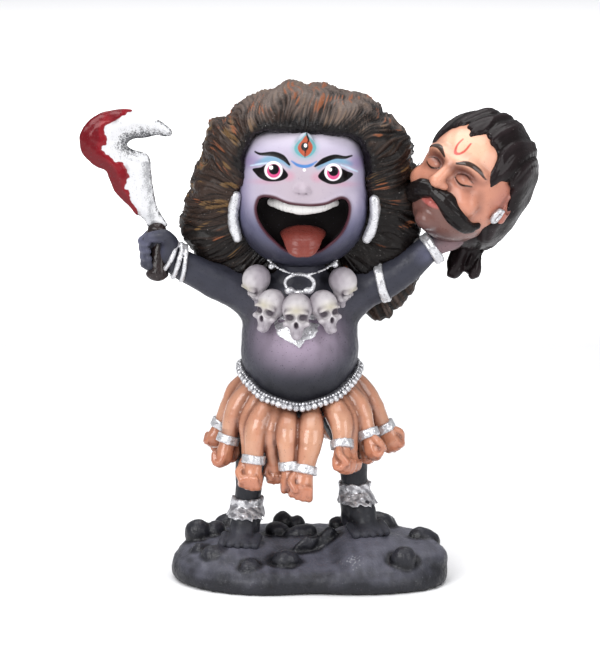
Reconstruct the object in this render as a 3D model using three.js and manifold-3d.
// Cast resin figure of Kali with a mane of hair, on a rocky base, with a sickle sword in one raised fist
// and a severed head in the other hand. Millimetres, +Z up, origin at the centre of the base's underside.
// The figure looks along -Y. Left and right are as seen from the front.
import * as THREE from 'three';
import { mergeVertices } from 'three/addons/utils/BufferGeometryUtils.js';
import Module from 'manifold-3d';

const wasm = await Module();
wasm.setup();

// Driving dimensions
const HEIGHT = 130;
const BASE_WIDTH = 72.7;
const BASE_DEPTH = 48;
const BASE_RIM = 8.3;
const BASE_EDGE_ROUNDING = 2.6;
const BASE_CROWN = 1.6;
const FIT_GAP = 0.3;

// Sickle sword
const GRIP_RADIUS = 1.7;
const GRIP_LENGTH = 12;
const POMMEL_RADIUS = 2.4;
const COLLAR_WIDTH = 5.6;
const COLLAR_DEPTH = 4.6;
const COLLAR_HEIGHT = 2.4;
const BLADE_LENGTH = 29.8;
const BLADE_THICKNESS = 3.4;
const BLADE_BEVEL = 1.1;

// The figure is drawn on a grid of 130 steps over the whole height, with the base's top at step 8.3.
// Its pose, proportions and carving are shares of the height above the base, so UNIT is one grid step.
const GRID_HEIGHT = 130;
const GRID_GROUND = 8.3;
const UNIT = (HEIGHT - BASE_RIM) / (GRID_HEIGHT - GRID_GROUND);

const RAD = Math.PI / 180;
const FULL_TURN = 2 * Math.PI;

// Grid place to millimetres
function at(x, y, z) {
  return new THREE.Vector3(x * UNIT, y * UNIT, BASE_RIM + (z - GRID_GROUND) * UNIT);
}

// Grid offset from a piece's own origin to millimetres
function own(x, y, z) {
  return new THREE.Vector3(x, y, z).multiplyScalar(UNIT);
}

// Solid from a closed geometry, with its faces turned outwards
function toSolid(geometry) {
  const bare = geometry.clone();
  bare.deleteAttribute('normal');
  bare.deleteAttribute('uv');
  const merged = mergeVertices(bare, 1e-4);
  const vertProperties = new Float32Array(merged.attributes.position.array);
  const triVerts = new Uint32Array(merged.index.array);
  const solid = new wasm.Manifold(new wasm.Mesh({ numProp: 3, vertProperties, triVerts }));
  if (solid.volume() > 0) return solid;
  for (let i = 0; i < triVerts.length; i += 3) {
    [triVerts[i], triVerts[i + 1]] = [triVerts[i + 1], triVerts[i]];
  }
  return new wasm.Manifold(new wasm.Mesh({ numProp: 3, vertProperties, triVerts }));
}

function join(solids) {
  return solids.reduce((whole, solid) => whole.add(solid));
}

function toMesh(name, solid, material) {
  const { vertProperties, triVerts, numProp } = solid.getMesh();
  const corners = [];
  for (let i = 0; i < vertProperties.length; i += numProp) corners.push(...vertProperties.slice(i, i + 3));
  const geometry = new THREE.BufferGeometry();
  geometry.setAttribute('position', new THREE.Float32BufferAttribute(corners, 3));
  geometry.setIndex([...triVerts]);
  geometry.computeVertexNormals();
  const part = new THREE.Mesh(geometry, material);
  part.name = name;
  return part;
}

// Moves every vertex of a geometry by a function of its place
function reshape(geometry, move) {
  const place = geometry.attributes.position;
  const point = new THREE.Vector3();
  for (let i = 0; i < place.count; i += 1) {
    point.fromBufferAttribute(place, i);
    move(point);
    place.setXYZ(i, point.x, point.y, point.z);
  }
  return geometry;
}

// Ellipsoid with its poles up and down before the turn, radii on the grid, centre in millimetres
function ellipsoid(centre, radii, sides = 12, rows = 8, turn = [0, 0, 0]) {
  const spin = new THREE.Euler(...turn.map((degrees) => degrees * RAD));
  const shape = new THREE.SphereGeometry(1, sides, rows);
  shape.rotateX(Math.PI / 2);
  reshape(shape, (p) => p.multiply(own(...radii)).applyEuler(spin).add(centre));
  return toSolid(shape);
}

// Tube through the points: rows are [share of the way, radius], so a band is a pair of wider rows.
// The ends are flat discs. The section's second half width lies along Y, or along X on a tube that runs
// mostly along Y, and flat scales both half widths.
function limb(points, rows, sides = 8, flat = [1, 1]) {
  const curve = new THREE.CatmullRomCurve3(points);
  const last = rows.length - 1;
  const alongY = Math.abs(curve.getTangentAt(0.5).y) > 0.8;
  const guide = alongY ? new THREE.Vector3(1, 0, 0) : new THREE.Vector3(0, 1, 0);
  const shape = new THREE.CylinderGeometry(1, 1, last, sides, last);
  reshape(shape, (p) => {
    const [share, radius] = rows[Math.round(p.y + last / 2)];
    const tangent = curve.getTangentAt(share);
    const normal = new THREE.Vector3().crossVectors(guide, tangent).normalize();
    const binormal = new THREE.Vector3().crossVectors(tangent, normal);
    const [wide, deep] = [p.x * radius * UNIT * flat[0], p.z * radius * UNIT * flat[1]];
    p.copy(curve.getPointAt(share)).addScaledVector(normal, wide).addScaledVector(binormal, deep);
  });
  return toSolid(shape);
}

// Rows of a round-ended tube: radii at even steps, with half rows at both ends
function roundEnds(radii) {
  const end = 0.07;
  const last = radii.length - 1;
  const rows = radii.map((radius, i) => [THREE.MathUtils.lerp(end, 1 - end, i / last), radius]);
  return [[0, radii[0] / 2], ...rows, [1, radii[last] / 2]];
}

// Rows of a band that stands out from a limb between two shares of its length
function bandRows(from, to, radius, rise) {
  const step = 0.001;
  return [[from, radius], [from + step, radius + rise], [to - step, radius + rise], [to, radius]];
}

// Closed loop of bar: placeAt gives its centre line for shares 0 to 1, axis is the loop's own axis
function hoop(placeAt, axis, thick, sides, steps, wide = 1) {
  const ringRadius = 2;
  const small = 1e-3;
  const shape = new THREE.TorusGeometry(ringRadius, 1, sides, steps);
  reshape(shape, (p) => {
    const share = (Math.atan2(p.y, p.x) / FULL_TURN + 1) % 1;
    const outwards = (Math.hypot(p.x, p.y) - ringRadius) * thick * UNIT;
    const sideways = p.z * thick * wide * UNIT;
    const tangent = placeAt((share + small) % 1).sub(placeAt((share - small + 1) % 1));
    const away = new THREE.Vector3().crossVectors(tangent, axis).normalize();
    p.copy(placeAt(share)).addScaledVector(away, outwards).addScaledVector(axis, sideways);
  });
  return toSolid(shape);
}

// Ring round an axis: centre in millimetres, radius and thickness on the grid
function ring(centre, axis, radius, thick) {
  const direction = axis.clone().normalize();
  const first = new THREE.Vector3(0, 1, 0).cross(direction).normalize();
  const second = new THREE.Vector3().crossVectors(direction, first);
  const placeAt = (share) => {
    const turn = share * FULL_TURN;
    const reach = centre.clone().addScaledVector(first, Math.cos(turn) * radius * UNIT);
    return reach.addScaledVector(second, Math.sin(turn) * radius * UNIT);
  };
  return hoop(placeAt, direction, thick, 4, 10);
}

// Value of a list that runs evenly round a full turn
function aroundList(list, turn) {
  const whole = ((turn / FULL_TURN + 2) % 1) * list.length;
  const first = Math.floor(whole) % list.length;
  return THREE.MathUtils.lerp(list[first], list[(first + 1) % list.length], whole - Math.floor(whole));
}

// Base: a worn slab with a wavy outline, a shallow waist in front, a rounded top edge and a domed top
const BASE_SIDES = 32;
const BASE_SQUARENESS = 2.7;
const BASE_FOOT_BEVEL = 0.7;

function baseOutline(turn) {
  const across = Math.abs(Math.cos(turn)) ** BASE_SQUARENESS;
  const back = Math.abs(Math.sin(turn)) ** BASE_SQUARENESS;
  const waves = 0.018 * (1 + Math.sin(3 * turn + 0.6)) + 0.012 * (1 + Math.cos(5 * turn));
  const waist = 0.05 * Math.exp(-(((turn + Math.PI / 2) / 0.22) ** 2));
  return (across + back) ** (-1 / BASE_SQUARENESS) * (1 - waves) * (1 - waist);
}

// Farthest that the outline goes along a direction, so that each side meets its own size
function baseReach(across, back) {
  let farthest = 0;
  for (let i = 0; i < BASE_SIDES; i += 1) {
    const turn = (i / BASE_SIDES) * FULL_TURN - Math.PI;
    farthest = Math.max(farthest, baseOutline(turn) * (Math.cos(turn) * across + Math.sin(turn) * back));
  }
  return farthest;
}

function makeBase() {
  const half = BASE_WIDTH / 2;
  const shoulder = BASE_RIM - BASE_EDGE_ROUNDING;
  const profile = [
    [0, 0],
    [half - BASE_FOOT_BEVEL, 0],
    [half, BASE_FOOT_BEVEL * 1.5],
    [half - BASE_EDGE_ROUNDING * 0.1, shoulder],
    [half - BASE_EDGE_ROUNDING * 0.35, shoulder + BASE_EDGE_ROUNDING * 0.6],
    [half - BASE_EDGE_ROUNDING, BASE_RIM],
    [0, BASE_RIM + BASE_CROWN],
  ];
  const shape = new THREE.LatheGeometry(profile.map((p) => new THREE.Vector2(...p)), BASE_SIDES);
  const [left, right, front, behind] = [[-1, 0], [1, 0], [0, -1], [0, 1]].map((side) => baseReach(...side));
  reshape(shape, (p) => {
    const turn = Math.atan2(-p.z, p.x);
    const size = (baseOutline(turn) * Math.hypot(p.x, p.z)) / half;
    const x = (Math.cos(turn) * size * half) / (Math.cos(turn) < 0 ? left : right);
    const y = (Math.sin(turn) * size * (BASE_DEPTH / 2)) / (Math.sin(turn) < 0 ? front : behind);
    p.set(x, y, p.y);
  });
  return toSolid(shape);
}

// Rocks: lumps with flat facets. Places are shares of the base's half width and half depth, then come
// the half width and the rise on the grid.
const ROCKS = [
  [-0.82, 0.16, 3.8, 5.6], [-0.66, 0.08, 3.4, 4.6], [-0.3, 0.38, 4.6, 6], [-0.1, 0.3, 4, 5.4],
  [0.07, -0.05, 3.8, 4.2], [0.24, 0.3, 3.4, 5.4], [-0.68, -0.62, 3.4, 1.8], [-0.36, -0.74, 3, 1.6],
  [0.84, -0.02, 5, 4.8], [0.62, -0.6, 3.4, 2], [-0.6, 0.6, 4.2, 3.6], [0.52, 0.6, 4.8, 3.8],
];

function makeRocks() {
  return ROCKS.map(([across, back, size, rise], i) => {
    const centre = new THREE.Vector3((across * BASE_WIDTH) / 2, (back * BASE_DEPTH) / 2, BASE_RIM);
    const turn = [11 * (i % 3), 9 * ((i % 4) - 1.5), 40 * i];
    return ellipsoid(centre, [size, size * 0.8, rise], 5, 4, turn);
  });
}

// Legs: the left foot stands on the ground, the right one on a mound
const LEFT_LEG = {
  hip: [-12.5, 0, 46],
  knee: [-14.6, -1.2, 33],
  ankle: [-16.4, -1.5, 17.5],
  toes: [-18.6, -13.5, 9.8],
};
const RIGHT_LEG = {
  hip: [7.5, 1, 46],
  knee: [10.8, 0.6, 34],
  ankle: [12, 1.2, 20.5],
  toes: [16.6, -8.8, 12.8],
};
const TOES = 5;
const FOOT_WIDTH = 8.4;
const HEEL_BEHIND_ANKLE = 1.5;
const HEEL_RISE = 0.6;
const TOE_LENGTH = 3.4;

function makeLeg({ hip, knee, ankle, toes }) {
  const ankleSpot = at(...ankle);
  const toeSpot = at(...toes);
  const ahead = toeSpot.clone().sub(ankleSpot).setZ(0).normalize();
  const across = new THREE.Vector3(-ahead.y, ahead.x, 0);
  const heel = ankleSpot.clone().addScaledVector(ahead, -HEEL_BEHIND_ANKLE * UNIT);
  heel.setZ(toeSpot.z + HEEL_RISE * UNIT);
  const anklet = bandRows(0.62, 0.79, 3.5, 0.8);
  const rows = [[0, 6.6], [0.36, 4.9], [0.56, 4.1], ...anklet, [0.88, 3.7], [1, 3.2]];
  const tread = toeSpot.clone().addScaledVector(ahead, -2 * UNIT);
  const parts = [
    limb([at(...hip), at(...knee), ankleSpot, heel], rows, 8),
    limb([heel, tread], [[0, 3], [0.35, 3.7], [1, 4]], 8, [0.62, 1]),
  ];
  for (let i = 0; i < TOES; i += 1) {
    const aside = i / (TOES - 1) - 0.5;
    const tip = toeSpot.clone().addScaledVector(across, aside * FOOT_WIDTH * UNIT);
    tip.addScaledVector(ahead, -Math.abs(aside) * 2.4 * UNIT);
    const root = tip.clone().addScaledVector(ahead, -TOE_LENGTH * UNIT);
    parts.push(limb([root, tip], [[0, 1.2], [0.8, 1.3], [1, 0.7]], 4));
  }
  return join(parts);
}

function makeMound() {
  const ankle = at(...RIGHT_LEG.ankle);
  const toes = at(...RIGHT_LEG.toes);
  const centre = ankle.lerp(toes, 0.3).setZ(BASE_RIM);
  const rise = RIGHT_LEG.toes[2] - GRID_GROUND - 0.6;
  return ellipsoid(centre, [9.5, 10.5, rise], 9, 6, [0, 0, 20]);
}

// Torso: round belly, chest, hips and neck
const BODY_X = -2.6;

function makeTorso() {
  return join([
    ellipsoid(at(BODY_X, -0.4, 60.5), [15.4, 14.6, 14.4], 16, 11),
    ellipsoid(at(BODY_X + 0.2, 0.4, 69.5), [14.7, 11.8, 11], 12, 8),
    ellipsoid(at(BODY_X, 0.6, 50), [14.6, 13, 8.6], 12, 6),
    limb([at(BODY_X, 0.5, 74), at(BODY_X + 0.8, -0.5, 88)], [[0, 8], [1, 7.4]], 10),
  ]);
}

// Belt under the belly, low in front and high at the sides
const BELT_REACH = [16.2, 14.8];
const BELT_HEIGHT = 56;
const BELT_SAG = 8.2;

function frontSag(turn) {
  return BELT_SAG * Math.max(0, -Math.sin(turn)) ** 1.35;
}

function makeBelt() {
  const placeAt = (share) => {
    const turn = share * FULL_TURN;
    const [across, back] = BELT_REACH;
    return at(BODY_X + Math.cos(turn) * across, 0.2 + Math.sin(turn) * back, BELT_HEIGHT - frontSag(turn));
  };
  return hoop(placeAt, new THREE.Vector3(0, 0, 1), 1, 4, 26, 1.8);
}

// Skirt of severed arms, each with a wrist band and a fist: degrees round from the front towards the
// right, height of the wrist and its reach from the body's axis
const SKIRT_FRONT = [
  [-94, 40.4, 20.6], [-66, 37.6, 20], [-38, 34, 19.2], [-13, 32.6, 18.4], [4, 31.8, 18.8],
  [18, 34.4, 17], [33, 37.6, 19.6], [60, 39.4, 20.4], [92, 39.6, 22],
];
const SKIRT_BACK_COUNT = 7;
const SKIRT_BACK_SPREAD = 136;
const HAND_LENGTH = 7.4;
const UPPER_ROWS = [[0, 3], [0.36, 3.6]];
const FIST_ROWS = [[0.34, 2.9], [0.72, 3], [1, 1.6]];

function severedArm(degrees, wristHeight, wristReach) {
  const turn = degrees * RAD - Math.PI / 2;
  const [across, back] = [Math.cos(turn), Math.sin(turn)];
  const shoulder = at(BODY_X + across * 14.2, back * 13, BELT_HEIGHT - frontSag(turn));
  const wrist = at(BODY_X + across * wristReach, back * wristReach * 0.96, wristHeight);
  const bow = own(across, back, 0).multiplyScalar(0.7);
  const elbow = shoulder.clone().lerp(wrist, 0.5).add(bow);
  const span = (2 * wrist.distanceTo(elbow)) / UNIT;
  const tips = wrist.clone().add(wrist.clone().sub(elbow).setLength(HAND_LENGTH * UNIT));
  const shareOf = (distance) => Math.min(1, distance / (span + HAND_LENGTH));
  const band = bandRows(shareOf(span - 1.3), shareOf(span + 0.9), 2.2, 0.5);
  const fist = FIST_ROWS.map(([share, radius]) => [shareOf(span + share * HAND_LENGTH), radius]);
  return limb([shoulder, elbow, wrist, tips], [...UPPER_ROWS, ...band, ...fist], 5);
}

function makeSkirt() {
  const arms = SKIRT_FRONT.map((place) => severedArm(...place));
  for (let i = 0; i < SKIRT_BACK_COUNT; i += 1) {
    const degrees = 180 + SKIRT_BACK_SPREAD * (i / (SKIRT_BACK_COUNT - 1) - 0.5);
    const lower = i % 2;
    arms.push(severedArm(degrees, 38 - 2.4 * lower, 21.4 - 0.8 * lower));
  }
  return join(arms);
}

// Raised arms, with bangles on the sword arm and an armlet and a cuff on the other
const SWORD_ARM = [[-9, -1, 74], [-19.5, -3, 77.4], [-28, -5, 81.4], [-37, -6, 86]];
const HEAD_ARM = [[6, -0.5, 74], [16.5, -2, 77.8], [24, -4, 82], [31.5, -4, 88.8], [35, -1, 94]];
const FIST = [-39.8, -6, 87.2];
const FINGERS = 4;
const FINGER_PITCH = 2;

function makeFinger(index) {
  const rise = FINGER_PITCH * ((FINGERS - 1) / 2 - index);
  const reach = Math.sqrt(1 - (rise / 5.2) ** 2);
  const [x, y, z] = FIST;
  const points = [
    at(x - 3.2 * reach, y + 1, z + rise),
    at(x - 2.4, y - 3.6 * reach, z + rise),
    at(x + 1.4, y - 4 * reach, z + rise - 0.4),
  ];
  return limb(points, [[0, 0.8], [0.25, 1.2], [0.6, 1.3], [1, 0.8]], 4);
}

function makeSwordArm() {
  const bangles = [0.72, 0.8, 0.88].flatMap((share) => bandRows(share, share + 0.045, 4.2, 0.6));
  const rows = [[0, 6.6], [0.3, 5.6], [0.6, 4.9], ...bangles, [1, 4]];
  const arm = limb(SWORD_ARM.map((p) => at(...p)), rows, 9);
  const fist = ellipsoid(at(...FIST), [4.3, 4.6, 4.7], 9, 6);
  return join([arm, fist, ...Array.from({ length: FINGERS }, (_, i) => makeFinger(i))]);
}

// The arm that holds the head, grown by a clearance where the head is cut for it
function makeHeadArm(clearance) {
  const armlet = bandRows(0.44, 0.49, 4.9, 0.6);
  const cuff = bandRows(0.8, 0.85, 3.4, 0.6);
  const rows = [[0, 6.4], [0.3, 5.4], ...armlet, [0.65, 4], ...cuff, [0.95, 3.4], [1, 2.4]];
  const grown = rows.map(([share, radius]) => [share, radius + clearance / UNIT]);
  return limb(HEAD_ARM.map((p) => at(...p)), grown, 9);
}

// Garland of five skulls: centre, size and lean in degrees
const SKULLS = [
  { centre: [-13.6, -8.8, 79.2], size: 0.92, lean: 22 },
  { centre: [-10.2, -12.4, 73.7], size: 1.02, lean: 10 },
  { centre: [-3.3, -14.6, 72.8], size: 1.1, lean: 0 },
  { centre: [3.9, -13, 73.4], size: 1.02, lean: -8 },
  { centre: [8.4, -8.8, 78.6], size: 0.92, lean: -20 },
];

function makeSkull({ centre, size, lean }) {
  const facing = Math.atan2(centre[0] - BODY_X, -centre[1]) / RAD;
  const turn = [0, lean, facing];
  const spin = new THREE.Euler(...turn.map((degrees) => degrees * RAD));
  const lump = (offset, radii, sides, rows) => {
    const place = own(...offset).multiplyScalar(size).applyEuler(spin).add(at(...centre));
    return ellipsoid(place, radii.map((r) => r * size), sides, rows, turn);
  };
  const dome = lump([0, 0.4, 1.4], [3.5, 3.7, 3.6], 8, 6);
  const jaw = lump([0, -0.8, -3], [2.2, 2.3, 2.6], 6, 4);
  const sockets = [-1, 1].map((side) => lump([side * 1.55, -3.2, -0.2], [1.05, 1.3, 1.25], 4, 3));
  const noseHole = lump([0, -3.2, -2.1], [0.5, 1, 0.7], 4, 3);
  return dome.add(jaw).subtract(join([...sockets, noseHole]));
}

// Collar ring, pendant ring and the plate under the middle skull
const PLATE_PLACE = [-3.2, -13.2, 68];
const PLATE_THICKNESS = 2;

function makeJewels() {
  const collar = ring(at(-1.8, -1.2, 82.6), new THREE.Vector3(0, 0.28, 1), 8.6, 1);
  const pendant = ring(at(-2.6, -10.6, 79.4), new THREE.Vector3(0, -1, 0.5), 3, 0.9);
  const outline = new THREE.Shape();
  outline.moveTo(-5.2, 2.6);
  outline.quadraticCurveTo(-5.4, -2.4, 0.6, -4.2);
  outline.quadraticCurveTo(4.6, -2, 5, 2.6);
  outline.closePath();
  const extrusion = { depth: PLATE_THICKNESS, bevelEnabled: false, curveSegments: 5 };
  const plate = new THREE.ExtrudeGeometry(outline, extrusion);
  plate.rotateX(84 * RAD);
  reshape(plate, (p) => p.multiplyScalar(UNIT).add(at(...PLATE_PLACE)));
  return join([collar, pendant, toSolid(plate)]);
}

// Head: broad jaw and rounder forehead, with its back inside the mane
const HEAD = [-1.5, -2, 101.5];
const HEAD_RADII = [17.6, 17.4, 18.6];
const HEAD_SQUARENESS = 2.35;

function makeBareHead() {
  const shape = new THREE.SphereGeometry(1, 20, 12);
  shape.rotateX(Math.PI / 2);
  reshape(shape, (p) => {
    const sum = [p.x, p.y, p.z].reduce((total, v) => total + Math.abs(v) ** HEAD_SQUARENESS, 0);
    p.multiplyScalar(sum ** (-1 / HEAD_SQUARENESS));
    const cheeks = 0.05 * Math.exp(-(((p.z + 0.3) / 0.4) ** 2));
    const temples = 0.08 * Math.max(0, p.z) ** 2;
    p.x *= 1 + cheeks - temples;
    p.multiply(own(...HEAD_RADII)).add(at(...HEAD));
  });
  return toSolid(shape);
}

// Depth of the face at a place on the grid
function faceDepth(x, z) {
  const across = Math.abs((x - HEAD[0]) / HEAD_RADII[0]) ** HEAD_SQUARENESS;
  const up = Math.abs((z - HEAD[2]) / HEAD_RADII[2]) ** HEAD_SQUARENESS;
  return HEAD[1] - HEAD_RADII[1] * Math.max(0, 1 - across - up) ** (1 / HEAD_SQUARENESS);
}

// Mouth: a wide open laugh, flat above and rounded below, as places across and up
const MOUTH = [
  [-12.6, 102], [-7.5, 102.3], [-2, 101], [4, 101.4], [9.2, 102], [9.8, 99.2],
  [8.6, 94.6], [4.6, 90.6], [-1.8, 88.6], [-8, 91.2], [-12, 95.6], [-13, 99.4],
];
const MOUTH_DEPTH = 10;
const LIP_RADIUS = 1;

function makeMouthHollow() {
  const curve = new THREE.CatmullRomCurve3(MOUTH.map(([x, z]) => new THREE.Vector3(x, z, 0)), true);
  const outline = new THREE.Shape(curve.getPoints(20).slice(0, -1));
  const hollow = new THREE.ExtrudeGeometry(outline, { depth: 1, bevelEnabled: false });
  const front = HEAD[1] - HEAD_RADII[1];
  const [floor, mouthOpening] = [front + MOUTH_DEPTH, front - 4];
  reshape(hollow, (p) => p.copy(at(p.x, THREE.MathUtils.lerp(floor, mouthOpening, p.z), p.y)));
  return toSolid(hollow);
}

function makeLips() {
  const curve = new THREE.CatmullRomCurve3(MOUTH.map(([x, z]) => new THREE.Vector3(x, 0, z)), true);
  const placeAt = (share) => {
    const { x, z } = curve.getPointAt(share);
    return at(x, faceDepth(x, z) + 0.2, z);
  };
  return hoop(placeAt, new THREE.Vector3(0, 1, 0), LIP_RADIUS, 4, 20);
}

function makeHead() {
  const through = (places) => places.map((p) => at(...p));
  const tongue = [[-1.8, -6, 95], [-1.8, -15.5, 94.6], [-2, -19.6, 90.6], [-2, -19.4, 87.6]];
  const teeth = [[-10.4, -12, 101], [-1.8, -17.4, 100.6], [7, -12, 101]];
  const leftEarring = [[-19.2, -6.6, 105], [-19.6, -7.4, 98.6], [-18.4, -8, 92.8]];
  const rightEarring = [[16.6, -6.6, 103], [16.2, -7.4, 97], [13.8, -8, 91]];
  return join([
    makeBareHead().subtract(makeMouthHollow()),
    makeLips(),
    limb(through(tongue), roundEnds([6, 6, 5.6, 4]), 8, [0.42, 1]),
    limb(through(teeth), [[0, 1.7], [0.5, 1.7], [1, 1.7]], 6),
    ellipsoid(at(-1.6, -19.4, 105.4), [2.2, 1.9, 1.7], 6, 4),
    ellipsoid(at(-1.2, -14.9, 115.8), [2.6, 1.5, 3.6], 7, 5, [-20, 0, 0]),
    limb(through(leftEarring), roundEnds([1.3, 1.7, 1.2]), 5),
    limb(through(rightEarring), roundEnds([1.3, 1.7, 1.2]), 5),
  ]);
}

// Mane: its reach and that of the hairline, every 15 degrees from straight down and round by the right
const MANE_CENTRE = [-3, 0, 99.6];
const MANE_REACH = [
  16.8, 17.8, 20.2, 26.6, 31, 33.2, 30.8, 31, 31.6, 31.8, 31.6, 31.2, 30.6, 30.4, 30, 30.4, 29.2, 28.8,
  30.2, 30.6, 29.4, 26.8, 18.8, 17,
];
const HAIRLINE_REACH = [
  14, 14, 14.5, 15, 16, 17, 17.8, 18.2, 19, 20.6, 20.8, 19.6, 18.8, 19.2, 20.2, 20, 18, 16.8,
  16.6, 16.4, 16, 15, 14.5, 14,
];
// How far the crest of the mane stands forward, every 45 degrees from straight down
const CREST_FRONT = [4, 6, 9.4, 10.4, 11, 10.4, 9.4, 6];
// Rows from the middle of the back over the outer edge and the crest to the pole inside the head. Reach
// runs from a share of the hairline to the edge, and depth is steps back less a share of the crest.
const MANE_ROWS = [
  { hairline: 0, edge: 0, back: 20, crest: 0, carved: 0 },
  { hairline: 0, edge: 0.55, back: 18.4, crest: 0, carved: 1 },
  { hairline: 0, edge: 0.86, back: 12, crest: 0, carved: 1 },
  { hairline: 0, edge: 1, back: 3, crest: 0, carved: 1 },
  { hairline: 1, edge: 0.95, back: 0, crest: 0.5, carved: 1 },
  { hairline: 1, edge: 0.7, back: 0, crest: 0.9, carved: 1 },
  { hairline: 1, edge: 0.25, back: 0, crest: 1, carved: 0.5 },
  { hairline: 1, edge: 0, back: 0, crest: 0.8, carved: 0 },
  { hairline: 0.9, edge: 0, back: 0, crest: 0.2, carved: 0 },
  { hairline: 0, edge: 0, back: 0, crest: 0.2, carved: 0 },
];
const LOCKS = 15;
const LOCK_DEPTH = 1.5;
const MANE_SIDES = 60;

function makeManeShell() {
  const last = MANE_ROWS.length - 1;
  const shape = new THREE.SphereGeometry(1, MANE_SIDES, last);
  const [centreX, centreY, centreZ] = MANE_CENTRE;
  reshape(shape, (p) => {
    const row = MANE_ROWS[Math.round((Math.acos(THREE.MathUtils.clamp(p.y, -1, 1)) / Math.PI) * last)];
    const turn = Math.atan2(p.z, p.x);
    const fromDown = turn + Math.PI / 2;
    const inner = aroundList(HAIRLINE_REACH, fromDown) * row.hairline;
    const outer = aroundList(MANE_REACH, fromDown);
    const groove = 1 - Math.abs(Math.sin((LOCKS * turn) / 2 + 0.9 * Math.sin(2 * turn) + 0.16 * row.back));
    const carving = LOCK_DEPTH * groove * row.carved;
    const reach = inner + (outer - inner) * row.edge - carving;
    const back = row.back - row.crest * (aroundList(CREST_FRONT, fromDown) - carving * 0.6);
    p.copy(at(centreX + Math.cos(turn) * reach, centreY + back, centreZ + Math.sin(turn) * reach));
  });
  return toSolid(shape);
}

function makeMane() {
  const fallRight = [at(12, 8, 106), at(16.5, 12, 88), at(16.5, 11.5, 67)];
  const fallLeft = [at(-6, 9, 104), at(-4, 12, 88), at(2, 12, 76)];
  const bunRight = [at(20.8, 6, 115.6), at(23.6, 7, 107)];
  return join([
    makeManeShell(),
    limb(fallRight, roundEnds([13, 13, 9.5]), 10, [1, 0.66]),
    limb(fallLeft, roundEnds([15, 12, 9]), 10, [1, 0.66]),
    limb(bunRight, roundEnds([5.2, 4.8]), 8),
  ]);
}

// Grip, collar and pommel, grown by a clearance where the fist is cut for them
function makeHandle(clearance) {
  const grip = new THREE.CylinderGeometry(GRIP_RADIUS + clearance, GRIP_RADIUS + clearance, GRIP_LENGTH, 10);
  grip.rotateX(Math.PI / 2);
  const [wide, deep, tall] = [COLLAR_WIDTH, COLLAR_DEPTH, COLLAR_HEIGHT].map((size) => size + 2 * clearance);
  const collar = new THREE.BoxGeometry(wide, deep, tall);
  collar.translate(0, 0, GRIP_LENGTH / 2);
  const pommel = new THREE.SphereGeometry(POMMEL_RADIUS + clearance, 8, 6);
  pommel.translate(0, 0, -GRIP_LENGTH / 2);
  return join([grip, collar, pommel].map(toSolid));
}

// Blade outline from the collar up its back, round the hook and down its inner edge, as shares of the
// blade's length
const BLADE_BACK = [
  [-0.09, 0], [-0.22, 0.17], [-0.335, 0.31], [-0.385, 0.455], [-0.47, 0.525], [-0.605, 0.64], [-0.64, 0.755],
  [-0.57, 0.895], [-0.4, 0.985], [-0.18, 1], [0.035, 0.925], [0.165, 0.81],
];
const BLADE_HOOK = [[0.065, 0.77], [-0.155, 0.75], [-0.22, 0.705], [-0.155, 0.66], [-0.04, 0.61]];
const BLADE_NECK = [[-0.005, 0.37], [0.035, 0.155], [0.1, 0]];
const BLADE_SINK = 0.3;

function makeSword() {
  const outline = new THREE.Shape();
  const spot = ([x, y]) => new THREE.Vector2(x, y).multiplyScalar(BLADE_LENGTH);
  outline.moveTo(...spot(BLADE_BACK[0]));
  for (const stretch of [BLADE_BACK.slice(1), BLADE_HOOK, BLADE_NECK]) outline.splineThru(stretch.map(spot));
  outline.closePath();
  const blade = new THREE.ExtrudeGeometry(outline, {
    depth: BLADE_THICKNESS - 2 * BLADE_BEVEL,
    bevelThickness: BLADE_BEVEL,
    bevelSize: BLADE_BEVEL * 0.6,
    bevelOffset: -BLADE_BEVEL * 0.6,
    bevelSegments: 1,
    curveSegments: 1,
  });
  blade.rotateX(Math.PI / 2);
  const collarTop = (GRIP_LENGTH + COLLAR_HEIGHT) / 2;
  blade.translate(0, BLADE_THICKNESS / 2 - BLADE_BEVEL, collarTop - BLADE_SINK);
  return makeHandle(0).add(toSolid(blade));
}

// Severed head in its own frame: face along -Y, crown up, origin at the middle of the head
const VICTIM_PLACE = [41.2, -4, 105.6];
const VICTIM_ROLL = 27;
const VICTIM_YAW = -33;

function bothSides(make) {
  return [-1, 1].map(make);
}

function makeSeveredFace() {
  const whisker = [[0, -14.2, -5.2], [4.4, -13.2, -6.2], [8, -10.2, -7], [9.6, -7.6, -5.2]];
  return join([
    ellipsoid(own(0, 0, 0), [12.6, 14.2, 16.4], 14, 10),
    ellipsoid(own(0, -4.6, -8), [8.6, 8.8, 8.2], 8, 5),
    limb([own(0, 2, -8), own(-0.6, 1.6, -18.4)], [[0, 6.2], [1, 5.2]], 8),
    limb([own(0, -13.2, 2), own(0, -15.8, -2.6)], [[0, 1.1], [1, 2]], 6),
    limb([own(-2.6, -12.6, -8.4), own(2.6, -12.6, -8.4)], [[0, 0.9], [1, 0.9]], 5),
    ...bothSides((side) => {
      const brow = [own(side * 2.4, -13, 3.8), own(side * 7.6, -10.4, 3.4)];
      return limb(brow, [[0, 1], [1, 0.8]], 5);
    }),
    ...bothSides((side) => ellipsoid(own(side * 4.8, -11.8, 0.4), [2.7, 1.6, 1.5], 6, 4)),
    ...bothSides((side) => {
      const points = whisker.map(([x, y, z]) => own(side * x, y, z));
      return limb(points, [[0, 1.4], [0.35, 2], [0.75, 1.3], [1, 0.5]], 5);
    }),
    ...bothSides((side) => ellipsoid(own(side * 12.2, 1, -1), [1.6, 2.6, 3.6], 6, 5)),
    ...bothSides((side) => ellipsoid(own(side * 12.6, 0, -5.2), [1.2, 1.2, 2], 5, 4)),
  ]);
}

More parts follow.
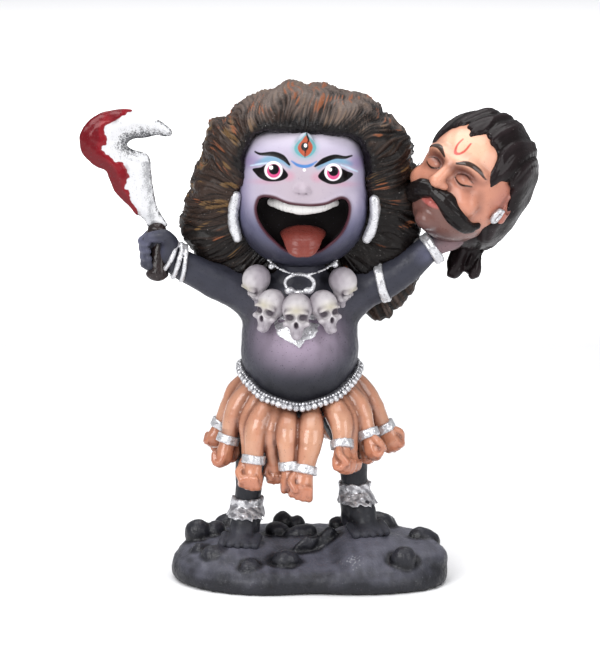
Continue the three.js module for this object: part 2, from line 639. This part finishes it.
// Hair of the severed head: a cap open over the face and under the head, and hanging tails
const CAP_RADII = [14.6, 15.2, 17.6];
const CAP_CENTRE = [0.2, 2.8, 2.8];
const CAP_LOCKS = 15;

function makeSeveredHair() {
  const cap = new THREE.SphereGeometry(1, 26, 9);
  cap.rotateX(Math.PI / 2);
  reshape(cap, (p) => {
    const ridge = Math.abs(Math.sin(CAP_LOCKS * Math.atan2(p.y, p.x) + 3 * p.z));
    const swell = 1 + 0.05 * ridge * (1 - Math.abs(p.z));
    p.multiply(own(swell * CAP_RADII[0], swell * CAP_RADII[1], CAP_RADII[2])).add(own(...CAP_CENTRE));
  });
  const faceRoom = new THREE.BoxGeometry(60, 30, 34);
  faceRoom.rotateX(-14 * RAD);
  faceRoom.translate(0, -20.4, -6.4);
  const neckRoom = new THREE.BoxGeometry(60, 60, 20);
  neckRoom.translate(0, 0, -22);
  const rooms = [faceRoom, neckRoom].map((room) => toSolid(room.scale(UNIT, UNIT, UNIT)));
  const tailRows = [[0, 5], [0.4, 4.8], [0.75, 2.9], [1, 1.1]];
  return join([
    toSolid(cap).subtract(join(rooms)),
    limb([own(11, 7, 0), own(11.6, 7.6, -8), own(10.5, 8, -15), own(8.6, 8.8, -22)], tailRows, 7),
    limb([own(6, 12, 2), own(7.4, 11.6, -8), own(6.6, 11, -15), own(4.6, 8.6, -23.4)], tailRows, 7),
    limb([own(-4, 13, 4), own(-4, 13, -8), own(-1, 11, -15)], [[0, 7.4], [0.5, 6.4], [1, 2.4]], 7),
  ]);
}

// Materials
const resin = new THREE.MeshStandardMaterial({ color: 0x4d4d58, roughness: 0.55, metalness: 0 });
const silver = new THREE.MeshStandardMaterial({ color: 0xd8d8da, roughness: 0.35, metalness: 0.6 });
const flesh = new THREE.MeshStandardMaterial({ color: 0x9a6a5c, roughness: 0.5, metalness: 0 });

// Places of the two separate pieces
const fistFrame = new THREE.Group();
fistFrame.position.copy(at(...FIST));
fistFrame.updateMatrix();

const headFrame = new THREE.Group();
headFrame.position.copy(at(...VICTIM_PLACE));
headFrame.rotateY(VICTIM_ROLL * RAD);
headFrame.rotateZ(VICTIM_YAW * RAD);
headFrame.updateMatrix();

function makeFigure() {
  const casting = join([
    makeBase(),
    ...makeRocks(),
    makeMound(),
    makeLeg(LEFT_LEG),
    makeLeg(RIGHT_LEG),
    makeTorso(),
    makeBelt(),
    makeSkirt(),
    makeSwordArm(),
    makeHeadArm(0),
    ...SKULLS.map(makeSkull),
    makeJewels(),
    makeHead(),
    makeMane(),
  ]);
  return casting.subtract(makeHandle(FIT_GAP).transform(fistFrame.matrix.elements));
}

function makeSevered() {
  const handRoom = makeHeadArm(FIT_GAP).transform(headFrame.matrix.clone().invert().elements);
  return makeSeveredFace().add(makeSeveredHair()).subtract(handRoom);
}

const kali = new THREE.Group();
kali.add(toMesh('figure_with_base', makeFigure(), resin));
fistFrame.add(toMesh('sickle_sword', makeSword(), silver));
headFrame.add(toMesh('severed_head', makeSevered(), flesh));
kali.add(fistFrame, headFrame);

export default kali;
